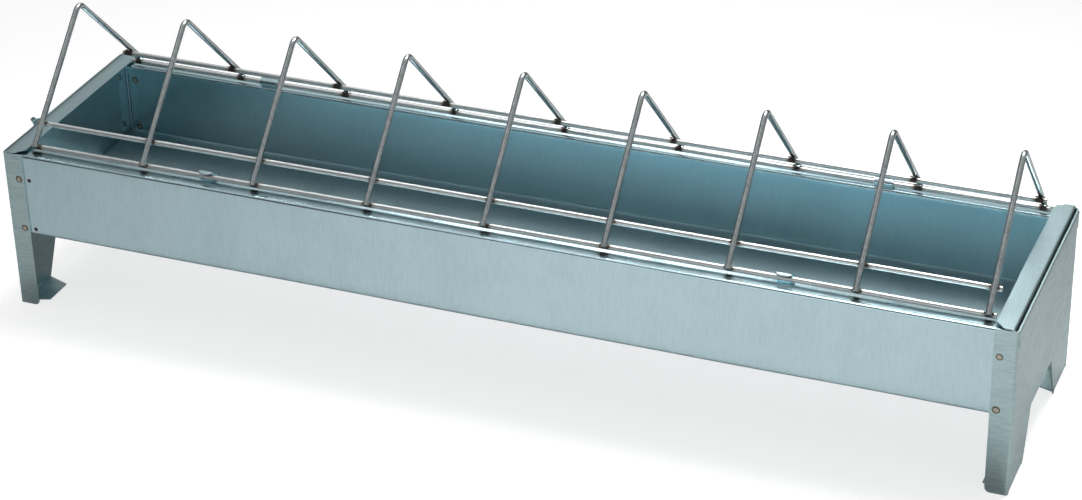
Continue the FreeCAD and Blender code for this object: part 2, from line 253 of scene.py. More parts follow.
def shaded(name: str, surface: Callable[[Graph], dict]) -> bpy.types.Material:
    """Makes a material.

    Args:
        name: the material's name.
        surface: adds nodes to a graph, and gives what goes into the Principled BSDF node.

    Returns:
        The material.
    """
    made = bpy.data.materials.new(name)
    made.use_nodes = True
    graph = Graph(made.node_tree)
    shader = made.node_tree.nodes["Principled BSDF"]
    for key, value in surface(graph).items():
        graph.feed(shader, key, value)
    return made


def input_tree(name: str, inputs: dict[str, str]) -> tuple[Graph, bpy.types.NodeOutputs]:
    """Makes an empty Geometry Nodes tree with a geometry going in and out.

    Args:
        name: the tree's name.
        inputs: socket type of each input after the geometry, by label.

    Returns:
        A graph on the tree, and the tree's inputs by label.
    """
    tree = bpy.data.node_groups.new(name, "GeometryNodeTree")
    for label, kind in {"Geometry": "Geometry", **inputs}.items():
        tree.interface.new_socket(label, in_out="INPUT", socket_type="NodeSocket" + kind)
    tree.interface.new_socket("Geometry", in_out="OUTPUT", socket_type="NodeSocketGeometry")
    graph = Graph(tree)
    return graph, graph.add("NodeGroupInput").outputs


def end_tree(graph: Graph, geometry: Socket, material: Socket) -> bpy.types.NodeTree:
    """Ends a tree in Realize Instances, smooth shading and Set Material."""
    real = graph.out("GeometryNodeRealizeInstances", {"Geometry": geometry})
    smooth = graph.out("GeometryNodeSetShadeSmooth", {"Geometry": real})
    dressed = graph.out("GeometryNodeSetMaterial", {"Geometry": smooth, "Material": material})
    graph.add("NodeGroupOutput", {"Geometry": dressed})
    return graph.tree


def linked(name: str, data: bpy.types.ID) -> bpy.types.Object:
    """Makes an object and links it to the scene."""
    made = bpy.data.objects.new(name, data)
    bpy.context.scene.collection.objects.link(made)
    return made


def settle(piece: bpy.types.Object) -> None:
    """Turns what a piece's modifiers give into its plain mesh, smooth but for sharp edges."""
    bpy.context.view_layer.update()
    evaluated = piece.evaluated_get(bpy.context.evaluated_depsgraph_get())
    piece.data = bpy.data.meshes.new_from_object(evaluated)
    piece.modifiers.clear()
    piece.data.name = piece.name
    piece.data.shade_smooth()
    piece.data.set_sharp_from_angle(angle=SHARP_ANGLE)


def grown(name: str, seed_mesh: bpy.types.Mesh, tree: bpy.types.NodeTree, values: dict) -> bpy.types.Object:
    """Runs a Geometry Nodes tree on a mesh and keeps the result as a plain mesh.

    Args:
        name: the new piece's name.
        seed_mesh: the points or line that the tree grows from.
        tree: the Geometry Nodes tree.
        values: the tree's inputs, by label.

    Returns:
        The piece, at the origin, with no modifier left.
    """
    piece = linked(name, seed_mesh)
    modifier = piece.modifiers.new("grow", "NODES")
    modifier.node_group = tree
    sockets = {item.name: item.identifier for item in tree.interface.items_tree if item.in_out == "INPUT"}
    for label, value in values.items():
        modifier[sockets[label]] = value
    settle(piece)
    return piece


def point_mesh(name: str, points: Sequence[Vector], chained: bool = False) -> bpy.types.Mesh:
    """Makes a mesh of bare points, or of one line through them."""
    mesh = bpy.data.meshes.new(name)
    edges = [(i, i + 1) for i in range(len(points) - 1)] if chained else []
    mesh.from_pydata([tuple(p) for p in points], edges, [])
    return mesh


# ---------------------------------------------------------------------------- finishes
class Finish:
    """A finish has a name, and adds its own nodes."""

    name: str

    def surface(self, graph: Graph) -> dict:
        """Adds the finish's nodes and gives what goes into the Principled BSDF node."""
        raise NotImplementedError

    def material(self) -> bpy.types.Material:
        """Builds the material."""
        return shaded(self.name, self.surface)


@dataclass(frozen=True)
class SheetSteelFinish(Finish):
    """Thin bright steel sheet: short mill flecks, faint smudges and a satin gloss.

    Below scuffed_below, which is the floor of the tray, flecks give way to rubbed scuffs.
    """

    name: str = "sheet steel, flecks down the walls"
    dark: Triple = (0.495, 0.655, 0.705)
    light: Triple = (0.550, 0.722, 0.772)
    flecks: Triple = (1050.0, 150.0, 150.0)
    bands: Triple = (60.0, 5.0, 5.0)
    smudges: Triple = (38.0, 38.0, 38.0)
    fleck_share: float = 0.46
    band_share: float = 0.16
    low_gloss: float = 0.23
    high_gloss: float = 0.15
    grain: float = 0.24
    scuffed_below: float = 0.0
    scuff_fade: float = 0.0012
    scuffs: Triple = (1500.0, 170.0, 170.0)
    scuff_turn: Triple = (0.0, 0.0, 0.62)
    scuff_gloss: float = 0.20
    scuff_depth: float = 0.05

    def surface(self, graph: Graph) -> dict:
        """Adds the finish's nodes."""
        place = graph.object_place()
        fleck = graph.noise(place, self.flecks, 2.0, 0.6)
        band = graph.noise(place, self.bands, 3.0, 0.6)
        smudge = graph.noise(place, self.smudges, 5.0, 0.6)
        smudge_share = 1.0 - self.fleck_share - self.band_share
        tone = graph.total(graph.product(fleck, self.fleck_share), graph.product(band, self.band_share),
                           graph.product(smudge, smudge_share))
        gloss = graph.span(tone, (0.36, 0.62), (self.low_gloss, self.high_gloss))
        low = graph.span(graph.parts(place)[2], (self.scuffed_below, self.scuffed_below + self.scuff_fade),
                         (1.0, 0.0))
        scuff = graph.noise(place, self.scuffs, 2.0, turn=self.scuff_turn)
        rough = graph.total(graph.product(scuff, self.scuff_gloss), self.scuff_gloss / 2)
        wall = graph.product(fleck, graph.maths("SUBTRACT", 1.0, low))
        height = graph.total(wall, graph.product(scuff, low, self.scuff_depth))
        return {"Base Color": graph.ramp(tone, (0.34, self.dark), (0.60, self.light)),
                "Roughness": graph.total(gloss, graph.product(low, rough)),
                "Normal": graph.bump(height, self.grain, 0.0002),
                "Metallic": 1.0}


@dataclass(frozen=True)
class WireFinish(Finish):
    """Bright drawn wire, browned by heat on both sides of each hoop."""

    name: str = "bright wire"
    bright: Triple = (0.74, 0.77, 0.77)
    dull: Triple = (0.58, 0.61, 0.61)
    straw: Triple = (0.44, 0.42, 0.38)
    burnt: Triple = (0.060, 0.048, 0.040)
    tint_reach: float = 0.0040
    burnt_reach: float = 0.0021
    ragged: float = 0.005
    drawn: Triple = (45.0, 1100.0, 1100.0)
    drawn_turn: Triple = (0.0, 0.0, 0.0)
    scratch_share: float = 0.62
    low_gloss: float = 0.44
    high_gloss: float = 0.32
    heated: bool = True

    def surface(self, graph: Graph) -> dict:
        """Adds the finish's nodes."""
        place = graph.object_place()
        scratches = graph.noise(place, self.drawn, 4.0, 0.65, self.drawn_turn)
        blotch = graph.noise(place, 120.0, 3.0)
        tone = graph.total(graph.product(scratches, self.scratch_share),
                           graph.product(blotch, 1.0 - self.scratch_share))
        colour = graph.ramp(tone, (0.34, self.dull), (0.60, self.bright))
        return {"Base Color": self._heat(graph, place, blotch, colour) if self.heated else colour,
                "Roughness": graph.span(tone, (0.34, 0.64), (self.low_gloss, self.high_gloss)),
                "Normal": graph.bump(scratches, 0.05, 0.0003),
                "Metallic": 1.0}

    def _heat(self, graph: Graph, place: Socket, uneven: Socket, colour: Socket) -> Socket:
        """Browns the colour near each hoop.

        Args:
            graph: the material's graph.
            place: object coordinates.
            uneven: noise that breaks up the tint's edge.
            colour: the wire's own colour.

        Returns:
            The tinted colour.
        """
        x = graph.parts(place)[0]
        turns = graph.maths("ROUND", graph.maths("DIVIDE", x, SIZES.hoop_pitch))
        away = graph.maths("ABSOLUTE", graph.maths("SUBTRACT", x, graph.product(turns, SIZES.hoop_pitch)))
        edge = graph.total(away, graph.product(graph.maths("SUBTRACT", uneven, 0.5), self.ragged))
        straw = graph.span(edge, (self.burnt_reach, self.tint_reach), (0.85, 0.0))
        burnt = graph.span(edge, (self.burnt_reach * 0.62, self.burnt_reach * 1.15), (0.95, 0.0))
        for amount, tint in ((straw, self.straw), (burnt, self.burnt)):
            mix = graph.add("ShaderNodeMix", data_type="RGBA")
            for key, value in ((0, amount), (6, colour), (7, (*tint, 1.0))):
                graph.feed(mix, key, value)
            colour = mix.outputs[2]
        return colour


@dataclass(frozen=True)
class ScaleFinish(Finish):
    """Dark, dull oxide: weld metal, splashes of burnt metal."""

    name: str = "weld scale"
    dark: Triple = (0.040, 0.032, 0.027)
    brown: Triple = (0.125, 0.100, 0.080)
    metallic: float = 0.45
    roughness: float = 0.55

    def surface(self, graph: Graph) -> dict:
        """Adds the finish's nodes."""
        crust = graph.noise(graph.object_place(), 900.0, 3.0)
        return {"Base Color": graph.ramp(crust, (0.40, self.dark), (0.66, self.brown)),
                "Normal": graph.bump(crust, 0.5, 0.0004),
                "Metallic": self.metallic, "Roughness": self.roughness}


@dataclass(frozen=True)
class SpotFinish(Finish):
    """A spot weld's face: straw-coloured, with a brown ring at its edge."""

    name: str = "spot weld"
    straw: Triple = (0.52, 0.50, 0.42)
    brown: Triple = (0.120, 0.090, 0.062)
    metallic: float = 0.85
    roughness: float = 0.45

    def surface(self, graph: Graph) -> dict:
        """Adds the finish's nodes, which read the ring attribute: 0 at the middle, 1 at the edge."""
        ring = graph.add("ShaderNodeAttribute", attribute_name="ring").outputs["Fac"]
        patchy = graph.noise(graph.object_place(), 700.0, 2.0)
        edge = graph.total(ring, graph.product(graph.maths("SUBTRACT", patchy, 0.5), 0.5))
        return {"Base Color": graph.ramp(edge, (0.48, self.straw), (0.80, self.brown)),
                "Normal": graph.bump(patchy, 0.3, 0.0003),
                "Metallic": self.metallic, "Roughness": self.roughness}


# ---------------------------------------------------------------------------- sheet metal
def rounded_line(corners: Sequence[Pair], radius: float, steps: int = 6) -> list[Pair]:
    """Rounds the corners of a line.

    Args:
        corners: the line's points.
        radius: radius of every corner.
        steps: straight pieces in each corner.

    Returns:
        The rounded line's points.
    """
    line = [corners[0]]
    for before, corner, after in zip(corners, corners[1:], corners[2:]):
        into = (Vector(corner) - Vector(before)).normalized()
        out = (Vector(after) - Vector(corner)).normalized()
        turn = math.atan2(into.x * out.y - into.y * out.x, into.dot(out))
        way = math.copysign(1.0, turn)
        start = Vector(corner) - into * radius * math.tan(abs(turn) / 2)
        centre = start + Vector((-into.y, into.x)) * way * radius
        for i in range(steps + 1):
            arm = Matrix.Rotation(turn * i / steps, 2) @ (start - centre)
            line.append(tuple(centre + arm))
    line.append(corners[-1])
    return line


def stations(start: float, end: float, step: float) -> list[float]:
    """Even places from start to end, no further apart than step."""
    count = max(1, math.ceil(abs(end - start) / step - 1e-6))
    return [start + (end - start) * i / count for i in range(count + 1)]


@dataclass
class FoldedSheet:
    """One piece of sheet: an edge line pushed along its folds, with shapes cut from it while flat.

    Attributes:
        line: points of the sheet's middle, seen edge on, with folds already rounded.
        run: where the sheet starts and ends along its folds.
        place: puts a point of the line, and its place along the folds, in the feeder's frame.
        cell: the mesh is no coarser than this.
        uneven: how far the sheet stands out of true at a point.
        cuts: convex outlines cut from the flat sheet, in reach along the line and along the folds.
    """

    line: list[Pair]
    run: Pair
    place: Placer
    cell: float = 0.005
    uneven: Callable[[Vector], float] | None = None
    cuts: list[list[Pair]] = field(default_factory=list)

    def __post_init__(self) -> None:
        """Divides long runs of the line, and measures how far along it each point is."""
        fine = [self.line[0]]
        for near, far in zip(self.line, self.line[1:]):
            if math.dist(near, far) < 1e-7:
                continue
            for part in stations(0.0, 1.0, self.cell / math.dist(near, far))[1:]:
                fine.append((near[0] + (far[0] - near[0]) * part, near[1] + (far[1] - near[1]) * part))
        self.line = fine
        self.reach = [0.0]
        for near, far in zip(fine, fine[1:]):
            self.reach.append(self.reach[-1] + math.dist(near, far))

    def reach_at(self, a: float, b: float) -> float:
        """How far along the line the point nearest to (a, b) is."""
        target = Vector((a, b))
        best, found = math.inf, 0.0
        for i, (near, far) in enumerate(zip(self.line, self.line[1:])):
            step = Vector(far) - Vector(near)
            part = share((target - Vector(near)).dot(step) / step.length_squared)
            gap = (target - Vector(near) - step * part).length
            if gap < best:
                best, found = gap, self.reach[i] + step.length * part
        return found

    def cut(self, *outline: Pair) -> None:
        """Cuts a convex shape, whose corners run either way round."""
        corners = list(outline)
        area = sum(x0 * y1 - x1 * y0 for (x0, y0), (x1, y1) in zip(corners, corners[1:] + corners[:1]))
        self.cuts.append(corners if area > 0 else corners[::-1])

    def cut_box(self, reach: Pair, run: Pair) -> None:
        """Cuts an oblong."""
        self.cut((reach[0], run[0]), (reach[1], run[0]), (reach[1], run[1]), (reach[0], run[1]))

    def _lift(self, flat: Vector) -> Vector:
        """Moves a point of the flat sheet to its place on the folded one."""
        index = 0
        while index < len(self.line) - 2 and self.reach[index + 1] < flat.x:
            index += 1
        near, far = Vector(self.line[index]), Vector(self.line[index + 1])
        part = (flat.x - self.reach[index]) / (self.reach[index + 1] - self.reach[index])
        spot = near.lerp(far, part)
        point = self.place(spot.x, spot.y, flat.y)
        if self.uneven:
            across = Vector((near.y - far.y, far.x - near.x)).normalized()
            out = self.place(spot.x + across.x, spot.y + across.y, flat.y) - point
            point = point + out * self.uneven(point)
        return point

    def add_to(self, whole: bmesh.types.BMesh) -> None:
        """Adds the folded sheet, still without thickness, to a larger mesh."""
        flat = bmesh.new()
        rows = [[flat.verts.new((reach, run, 0.0)) for run in stations(*self.run, self.cell)]
                for reach in self.reach]
        for row, following in zip(rows, rows[1:]):
            for i in range(len(row) - 1):
                flat.faces.new((row[i], following[i], following[i + 1], row[i + 1]))
        for outline in self.cuts:
            cut_out(flat, outline)
        for vertex in flat.verts:
            vertex.co = self._lift(vertex.co)
        patch = bpy.data.meshes.new("patch")
        flat.to_mesh(patch)
        flat.free()
        whole.from_mesh(patch)
        bpy.data.meshes.remove(patch)


def cut_out(flat: bmesh.types.BMesh, outline: Sequence[Pair]) -> None:
    """Cuts a convex shape from a flat mesh.

    Args:
        flat: the mesh, in the XY plane.
        outline: the shape's corners, anticlockwise.
    """
    low = [min(p[i] for p in outline) - 1e-6 for i in (0, 1)]
    high = [max(p[i] for p in outline) + 1e-6 for i in (0, 1)]
    edges = list(zip(outline, list(outline[1:]) + [outline[0]]))
    for (x0, y0), (x1, y1) in edges:
        near = [face for face in flat.faces
                if all(min(v.co[i] for v in face.verts) < high[i] and
                       max(v.co[i] for v in face.verts) > low[i] for i in (0, 1))]
        geometry = set(near)
        for face in near:
            geometry.update(face.edges)
            geometry.update(face.verts)
        bmesh.ops.bisect_plane(flat, geom=list(geometry), dist=1e-7,
                               plane_co=(x0, y0, 0.0), plane_no=(y1 - y0, x0 - x1, 0.0))
    gone = []
    for face in flat.faces:
        c = face.calc_center_median()
        if all((x1 - x0) * (c.y - y0) - (y1 - y0) * (c.x - x0) > 0 for (x0, y0), (x1, y1) in edges):
            gone.append(face)
    bmesh.ops.delete(flat, geom=gone, context="FACES")


def sheet_piece(node: str, sheets: Sequence[FoldedSheet], finish: SheetSteelFinish) -> None:
    """Joins folded sheets into one closed piece, with their thickness, in place of a CAD node.

    Args:
        node: the CAD node's name.
        sheets: what the piece is made of.
        finish: its finish.
    """
    name = node + "_sheet"
    whole = bmesh.new()
    for sheet in sheets:
        sheet.add_to(whole)
    mesh = bpy.data.meshes.new(name)
    whole.to_mesh(mesh)
    whole.free()
    piece = linked(name, mesh)
    solid = piece.modifiers.new("thickness", "SOLIDIFY")
    solid.thickness = SIZES.sheet
    solid.offset = 0.0
    solid.use_even_offset = True
    settle(piece)
    piece.data.materials.clear()
    piece.data.materials.append(finish.material())
    place_piece(piece, Body.TROUGH, "sheet_steel", node)


def mirror_placer(end: int, side: int = 1) -> Placer:
    """Places (x, y) points at a height, mirrored to one end and one side."""
    return lambda x, y, z: Vector((end * x, side * y, z))


def across_placer(end: int) -> Placer:
    """Places (x, z) points at a y, mirrored to one end."""
    return lambda x, z, y: Vector((end * x, y, z))


def along_placer(y: float, z: float, x: float) -> Vector:
    """Places (y, z) points at an x."""
    return Vector((x, y, z))


def place_piece(piece: bpy.types.Object, body: Body, slot: str, *nodes: str) -> None:
    """Makes a piece ride on a body and hides the CAD nodes it stands for."""
    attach(piece, body.value)
    if nodes:
        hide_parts(*nodes)
    log.info("%s: %d faces", piece.name, len(piece.data.polygons))


# ---------------------------------------------------------------------------- tray
@dataclass
class TroughTray:
    """Folded tray: floor, two walls with turned-in rims, end tabs, hinge straps and catch lugs."""

    finish: SheetSteelFinish = field(default_factory=lambda: SheetSteelFinish(scuffed_below=0.0412))
    rim_width: float = 0.0104
    rim_lip: float = 0.0024
    tab: float = 0.0090
    tab_gap: float = 0.0025
    tab_lap: float = 0.0005
    strap_clearance: float = 0.00035
    lug_clearance: float = 0.0008
    strap_place: float = 0.1600
    strap_width: float = 0.0090
    strap_end: float = 205.0
    lug_place: float = 0.1430
    lug_width: float = 0.0082
    lug_tip: float = 134.0
    lug_shoulder: Pair = (0.5, 0.87)
    root_angle: float = -50.0
    hole_reach: float = 0.0004
    wave: Triple = (0.075, 0.05, 0.05)
    wave_depth: float = 0.00028
    held_end: float = 0.013
    held_fade: float = 0.030

    @property
    def wall(self) -> float:
        """Y of the rear wall's middle."""
        return SIZES.half_width - 1.5 * SIZES.sheet

    @property
    def end(self) -> float:
        """X where the walls fold in to the end tabs."""
        return SIZES.plate_outer - SIZES.sheet - SIZES.fold_outside

    def _uneven(self, point: Vector) -> float:
        """Slow waves of the long sheet, dying out towards the ends where the leg panels hold it."""
        free = share((SIZES.half_length - self.held_end - abs(point.x)) / self.held_fade)
        return self.wave_depth * free * noise.noise(Vector(p / size for p, size in zip(point, self.wave)))

    def _channel(self) -> FoldedSheet:
        """The long folded sheet, with the holes that lugs and straps were cut from."""
        low = SIZES.floor_underside + SIZES.half_sheet
        high = SIZES.rim_top - SIZES.half_sheet
        edge = SIZES.half_width - SIZES.sheet - self.rim_width + SIZES.half_sheet
        half = [(-edge, SIZES.rim_top - self.rim_lip), (-edge, high), (-self.wall, high), (-self.wall, low)]
        corners = half + [(-y, z) for y, z in half[::-1]]
        sheet = FoldedSheet(rounded_line(corners, SIZES.fold), (-self.end, self.end), along_placer,
                            uneven=self._uneven)
        for way in (-1, 1):
            self._cut_lug_hole(sheet, way * self.lug_place, high)
            self._cut_strap_hole(sheet, way * self.strap_place, high)
        return sheet

    def _cut_lug_hole(self, sheet: FoldedSheet, x: float, high: float) -> None:
        """Cuts the bowed hole that a catch lug was raised from."""
        back = -SIZES.rod_y + SIZES.rod_radius
        bow = [on_circle(a) for a in range(0, 181, 15)]
        sheet.cut(*[(sheet.reach_at(back - (SIZES.rod_radius + self.hole_reach) * deep, high),
                     x + self.lug_width / 2 * wide) for wide, deep in bow])

    def _cut_strap_hole(self, sheet: FoldedSheet, x: float, high: float) -> None:
        """Cuts the oblong hole that a hinge strap was raised from."""
        front = sheet.reach_at(SIZES.rod_y - SIZES.rod_radius - self.strap_clearance, high)
        back = sheet.reach_at(SIZES.rod_y + SIZES.rod_radius - SIZES.sheet, high)
        sheet.cut_box((front, back), (x - self.strap_width / 2, x + self.strap_width / 2))

    def _tabs(self) -> list[FoldedSheet]:
        """Ends of the walls, folded in along the end plates."""
        low = SIZES.floor_underside + SIZES.fold_outside + self.tab_gap
        high = SIZES.rim_top - SIZES.fold_outside - self.tab_gap
        face = SIZES.plate_outer - 1.5 * SIZES.sheet
        line = rounded_line([(self.end - self.tab_lap, self.wall), (face, self.wall),
                             (face, self.wall - self.tab)], SIZES.fold)
        return [FoldedSheet(line, (low, high), mirror_placer(end, side))
                for end in (-1, 1) for side in (-1, 1)]

    def _tongue(self, side: Side, x: float) -> FoldedSheet:
        """A tongue of rim sheet curled round a rod: a strap at the rear, a half-moon lug in front.

        Args:
            side: the rod's side.
            x: middle of the tongue.

        Returns:
            The curled sheet.
        """
        width, clearance, end_angle = self.strap_width, self.strap_clearance, self.strap_end
        if side is Side.FRONT:
            width, clearance, end_angle = self.lug_width, self.lug_clearance, self.lug_tip
        radius = SIZES.rod_radius + clearance + SIZES.half_sheet
        y, z = side.value * SIZES.rod_y, SIZES.rod_z
        curl = [on_circle(a, radius) for a in stations(self.root_angle, end_angle, 11.0)]
        line = [(y + curl[0][0], SIZES.rim_top - SIZES.half_sheet)] + [(y + a, z + b) for a, b in curl]
        sheet = FoldedSheet(line, (x - width / 2, x + width / 2), along_placer, cell=0.0012)
        if side is Side.FRONT:
            shoulder = sheet.reach_at(y + self.lug_shoulder[0] * radius, z + self.lug_shoulder[1] * radius)
            self._round_off(sheet, shoulder, x)
        return sheet

    def _round_off(self, sheet: FoldedSheet, shoulder: float, x: float) -> None:
        """Rounds a lug into a half moon, from its shoulders to its tip."""
        tip = sheet.reach[-1]
        for way in (-1, 1):
            outside = x + way * (self.lug_width / 2 + PAST_EDGE)
            for a in range(0, 90, 15):
                near, far = [(shoulder + (tip - shoulder) * rise, x + way * self.lug_width / 2 * wide)
                             for wide, rise in (on_circle(a), on_circle(a + 15))]
                sheet.cut(near, far, (tip + PAST_EDGE, far[1]), (tip + PAST_EDGE, outside),
                          (near[0], outside))

    def build(self) -> None:
        """Builds the tray and puts it in place of the CAD one."""
        sheets = [self._channel()] + self._tabs()
        for way in (-1, 1):
            sheets.append(self._tongue(Side.REAR, way * self.strap_place))
            sheets.append(self._tongue(Side.FRONT, way * self.lug_place))
        sheet_piece("trough_tray", sheets, self.finish)


# ---------------------------------------------------------------------------- ends
@dataclass
class EndPlate:
    """Upright plate that closes an end of the tray, with a flange over it and one under it."""

    end: End
    finish: SheetSteelFinish
    top_flange: float = 0.0093
    flange_lift: float = 0.0005
    mitre: float = 0.0044
    foot_flange: float = 0.0080
    wave: float = 0.030
    wave_depth: float = 0.00012
    dent_start: float = 0.0030
    dent_fade: float = 0.0060
    dent_y: float = -0.004
    dent_width: float = 0.013
    dent_depth: float = 0.0006

    def _uneven(self, point: Vector) -> float:
        """Waves of the plate, and the dent in the right-hand one's flange."""
        depth = self.wave_depth * noise.noise(point / self.wave + Vector((self.end.value, 0.0, 3.0)))
        if self.end is End.RIGHT and point.z > SIZES.leg_top:
            inward = share((SIZES.plate_outer - self.dent_start - point.x) / self.dent_fade)
            away = (point.y - self.dent_y) / self.dent_width
            depth -= self.dent_depth * inward * math.exp(-away * away)
        return depth

    def build(self) -> None:
        """Builds the plate and puts it in place of the CAD one."""
        outer, half = SIZES.plate_outer, SIZES.half_width
        middle = outer - SIZES.half_sheet
        top = SIZES.leg_top + self.flange_lift + SIZES.half_sheet
        bottom = SIZES.floor_underside - SIZES.half_sheet
        corners = [(outer - self.foot_flange, bottom), (middle, bottom), (middle, top),
                   (outer - self.top_flange, top)]
        sheet = FoldedSheet(rounded_line(corners, SIZES.fold), (-half, half),
                            across_placer(self.end.value), cell=0.003, uneven=self._uneven)
        narrow = sheet.reach_at(middle, SIZES.leg_top + self.flange_lift / 2)
        tip = sheet.reach[-1] + PAST_EDGE
        start = sheet.reach_at(outer - self.top_flange + self.mitre, top) - PAST_EDGE
        for way in (-1, 1):
            outside = way * (half + PAST_EDGE)
            sheet.cut_box((-PAST_EDGE, narrow), (way * (half - SIZES.sheet), outside))
            sheet.cut((start, outside), (tip, outside), (tip, way * (half - self.mitre - PAST_EDGE)))
        sheet_piece(self.end.name.lower() + "_end_plate", [sheet], self.finish)


@dataclass
class LegPanel:
    """Leg panel: web, side flanges wrapped round the tray, two legs with feet, hemmed top."""

    end: End
    finish: SheetSteelFinish
    side_flange: float = 0.0105
    leg_at_floor: float = 0.0280
    leg_at_cutout: float = 0.0390
    cutout_height: float = 0.0245
    foot_length: float = 0.0128
    foot_inset: float = 0.0016
    foot_taper: float = 0.0042
    hem_depth: float = 0.0086
    hem_inset: float = 0.0020
    corner: float = 0.0025
    ear_start: float = 0.0290
    ear_length: float = 0.0170
    ear_height: float = 0.0040
    ear_front: float = 0.0030
    ear_slope: tuple[Pair, ...] = ((1.0, 0.0022), (0.72, 0.0040), (0.38, 0.0090), (0.0, 0.0170))
    wave: float = 0.034
    wave_depth: float = 0.00016
    held_edge: float = 0.002
    held_fade: float = 0.012
    ripple: float = 0.012
    ripple_depth: float = 0.00008
    crease_through: Pair = (0.030, 0.030)
    crease_low: Pair = (0.024, 0.012)
    crease_high: Pair = (0.074, 0.020)
    crease_depth: float = 0.00022
    crease_width: float = 0.0030
    crease_lean: float = 0.42

    def _uneven(self, point: Vector) -> float:
        """Waves of the panel, and a slanted crease rising from the cut-out's corner."""
        held = share((SIZES.half_width - self.held_edge - abs(point.y)) / self.held_fade)
        depth = self.wave_depth * noise.noise(point / self.wave + Vector((0.0, self.end.value * 4.0, 0.0)))
        if self.end is End.RIGHT:
            y, z = self.crease_through
            away = (point.y - y) - (point.z - z) * self.crease_lean
            (low, low_fade), (high, high_fade) = self.crease_low, self.crease_high
            rise = share((point.z - low) / low_fade) * share((high - point.z) / high_fade)
            depth -= self.crease_depth * rise * math.exp(-(away / self.crease_width) ** 2)
        return depth * held

    def _ripple(self, point: Vector) -> float:
        """Short, shallow waves of the hem."""
        seed = self.end.value * 9.0
        return self.ripple_depth * noise.noise(point / self.ripple + Vector((seed, -seed, seed * 0.5)))

    def _wrap(self) -> FoldedSheet:
        """Web and side flanges, with the cut-out and the flanges' rounded corners."""
        web = SIZES.half_length - SIZES.half_sheet
        side = SIZES.half_width - SIZES.half_sheet
        tip = SIZES.half_length - self.side_flange
        corners = [(tip, -side), (web, -side), (web, side), (tip, side)]
        sheet = FoldedSheet(rounded_line(corners, SIZES.fold), (0.0, SIZES.leg_top),
                            mirror_placer(self.end.value), cell=0.003, uneven=self._uneven)
        floor_y = SIZES.half_width - self.leg_at_floor
        top_y = SIZES.half_width - self.leg_at_cutout
        flare = (floor_y - top_y) * PAST_EDGE / self.cutout_height
        low, high = (sheet.reach_at(web, way * (floor_y + flare)) for way in (-1, 1))
        top_low, top_high = (sheet.reach_at(web, way * top_y) for way in (-1, 1))
        sheet.cut((low, -PAST_EDGE), (high, -PAST_EDGE), (top_high, self.cutout_height),
                  (top_low, self.cutout_height))
        for way in (-1, 1):
            near = sheet.reach_at(web, way * (SIZES.half_width - SIZES.fold - self.foot_inset))
            far = sheet.reach_at(web, way * (floor_y + self.foot_inset))
            sheet.cut_box((near, far), (-PAST_EDGE, SIZES.fold_outside))
            edge = 0.0 if way < 0 else sheet.reach[-1]
            for a in (0, 22.5, 45, 67.5):
                spots = [(edge - way * self.corner * (1 - wide), self.corner * (1 - rise))
                         for wide, rise in (on_circle(a), on_circle(a + 22.5))]
                sheet.cut(*spots, (edge + way * PAST_EDGE, -PAST_EDGE))
        return sheet

    def _foot(self, way: int) -> FoldedSheet:
        """Foot folded in from one leg."""
        web = SIZES.half_length - SIZES.half_sheet
        tip = SIZES.half_length - self.foot_length
        low = SIZES.half_width - self.leg_at_floor + self.foot_inset
        high = SIZES.half_width - SIZES.fold - self.foot_inset
        line = rounded_line([(web, SIZES.fold_outside), (web, SIZES.half_sheet), (tip, SIZES.half_sheet)],
                            SIZES.fold)
        run = (low, high) if way > 0 else (-high, -low)
        foot = FoldedSheet(line, run, across_placer(self.end.value), cell=0.003)
        start = foot.reach_at(SIZES.half_length - SIZES.sheet - SIZES.fold, SIZES.half_sheet)
        end = foot.reach[-1] + 0.0005
        for edge, inwards in ((run[0], 1), (run[1], -1)):
            outside = edge - inwards * PAST_EDGE
            foot.cut((start, edge), (end, edge + inwards * self.foot_taper), (end, outside),
                     (start, outside))
        return foot

    def _hem(self) -> FoldedSheet:
        """Top edge folded back over the outside of the panel."""
        radius = SIZES.half_sheet
        inner = SIZES.half_length - radius
        crest = SIZES.leg_top - SIZES.sheet
        bend = [on_circle(a, radius) for a in range(0, 181, 20)]
        line = [(inner, SIZES.leg_top - self.hem_depth / 2)]
        line += [(inner + radius - across, crest + up) for across, up in bend]
        line.append((inner + 2 * radius, SIZES.leg_top - self.hem_depth))
        half = SIZES.half_width - self.hem_inset
        return FoldedSheet(line, (-half, half), across_placer(self.end.value), cell=0.003,
                           uneven=self._ripple)

    def _ear(self) -> FoldedSheet:
        """Small upturned ear, its tip leaning out."""
        x = SIZES.half_length + SIZES.half_sheet
        root = SIZES.leg_top - self.hem_depth / 4
        height = SIZES.leg_top + self.ear_height - root
        line = [(x + lean, root + part * height)
                for part, lean in ((0.0, 0.0), (0.6, 0.0), (0.85, 0.0002), (1.0, 0.0006))]
        front = -SIZES.half_width + self.ear_start
        ear = FoldedSheet(line, (front, front + self.ear_length), across_placer(self.end.value), cell=0.001)
        high = ear.reach[-1]
        outside = front - PAST_EDGE
        ear.cut((-PAST_EDGE, front + self.ear_front), (-PAST_EDGE, outside), (high + PAST_EDGE, outside))
        rear = front + self.ear_length + PAST_EDGE
        for (part0, y0), (part1, y1) in zip(self.ear_slope, self.ear_slope[1:]):
            ear.cut((high * part0, front + y0), (high * part1, front + y1), (high * part1, rear),
                    (high * part0, rear))
        ear.cut_box((high - 0.00001, high + PAST_EDGE), (front + self.ear_slope[0][1], rear))
        return ear

    def build(self) -> None:
        """Builds the panel and puts it in place of the CAD one."""
        sheets = [self._wrap(), self._foot(-1), self._foot(1), self._hem()]
        if self.end is End.LEFT:
            sheets.append(self._ear())
        sheet_piece(self.end.name.lower() + "_leg_panel", sheets, self.finish)


